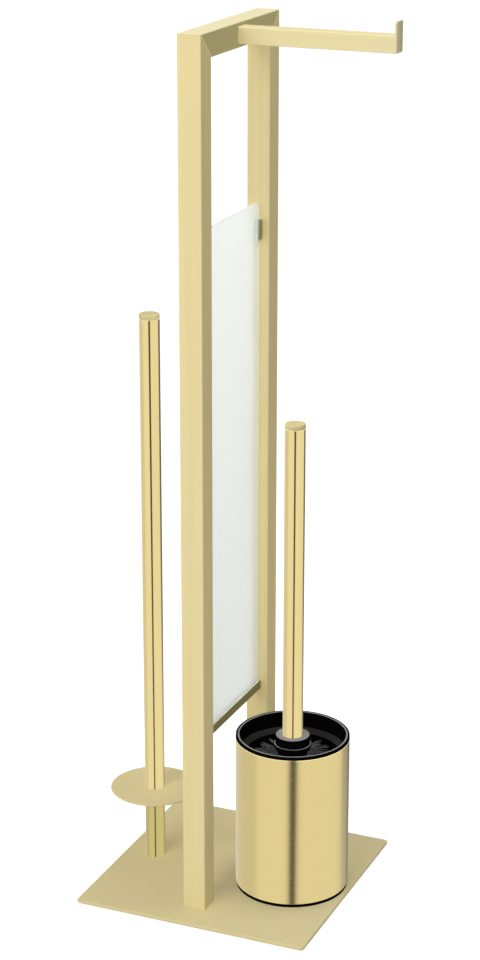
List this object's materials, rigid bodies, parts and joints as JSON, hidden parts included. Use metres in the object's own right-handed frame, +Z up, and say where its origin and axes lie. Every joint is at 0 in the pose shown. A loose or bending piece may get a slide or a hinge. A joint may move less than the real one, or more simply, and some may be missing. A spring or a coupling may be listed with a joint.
{
  "type": "free-standing toilet paper holder with brush set",
  "caption": "Free-standing gold toilet paper holder: square frame with roll arm and frosted glass panel, spare roll post and a lift-out toilet brush in a round holder.",
  "frame": {"origin": "centre of the square base, on the floor, at the underside of the anti-slip mat", "axes": "+Z up, +X along the roll arm, +Y across the plane of the frame, away from the viewer in the picture"},
  "size_m": [0.241, 0.2, 0.718],
  "materials": {
    "gold_metal": "satin pale gold",
    "zinc_steel": "zinc plated",
    "black_plastic": "semi gloss",
    "mat_rubber": "matte foam",
    "frosted_glass": "satin frosted",
    "clear_liner": "translucent soft",
    "black_bristle": "bristles"
  },
  "bodies": {
    "stand": {"base_plate": "gold_metal", "front_upright": "gold_metal", "rear_upright": "gold_metal", "top_crossbar": "gold_metal", "roll_arm": "gold_metal", "roll_arm_end_stop": "gold_metal", "glass_rail": "gold_metal", "front_glass_clip": "gold_metal", "rear_glass_clip": "gold_metal", "spare_post_spacer": "gold_metal", "spare_roll_disc": "gold_metal", "spare_post_tube": "gold_metal", "spare_post_cap": "gold_metal", "upright_foot_plugs": "zinc_steel", "upright_screws": "zinc_steel", "spare_post_plug": "zinc_steel", "spare_post_screw": "zinc_steel", "base_mat": "mat_rubber", "glass_panel": "frosted_glass", "glass_rail_liner": "clear_liner", "glass_clip_liners": "clear_liner"},
    "holder": {"holder_foot": "black_plastic", "holder_sleeve": "gold_metal"},
    "insert": {"holder_insert": "black_plastic"},
    "brush": {"brush_handle_tube": "gold_metal", "brush_handle_cap": "gold_metal", "brush_handle_stud": "zinc_steel", "brush_head": "black_plastic", "brush_bristles": "black_bristle"}
  },
  "joints": [
    {"name": "holder_slide", "type": "slide", "parent": "stand", "child": "holder", "axis": [1, 0, 0], "range_m": [0, 0.16]},
    {"name": "insert_lift", "type": "slide", "parent": "holder", "child": "insert", "axis": [0, 0, 1], "range_m": [0, 0.135]},
    {"name": "brush_lift", "type": "slide", "parent": "insert", "child": "brush", "axis": [0, 0, 1], "range_m": [0, 0.14]}
  ]
}
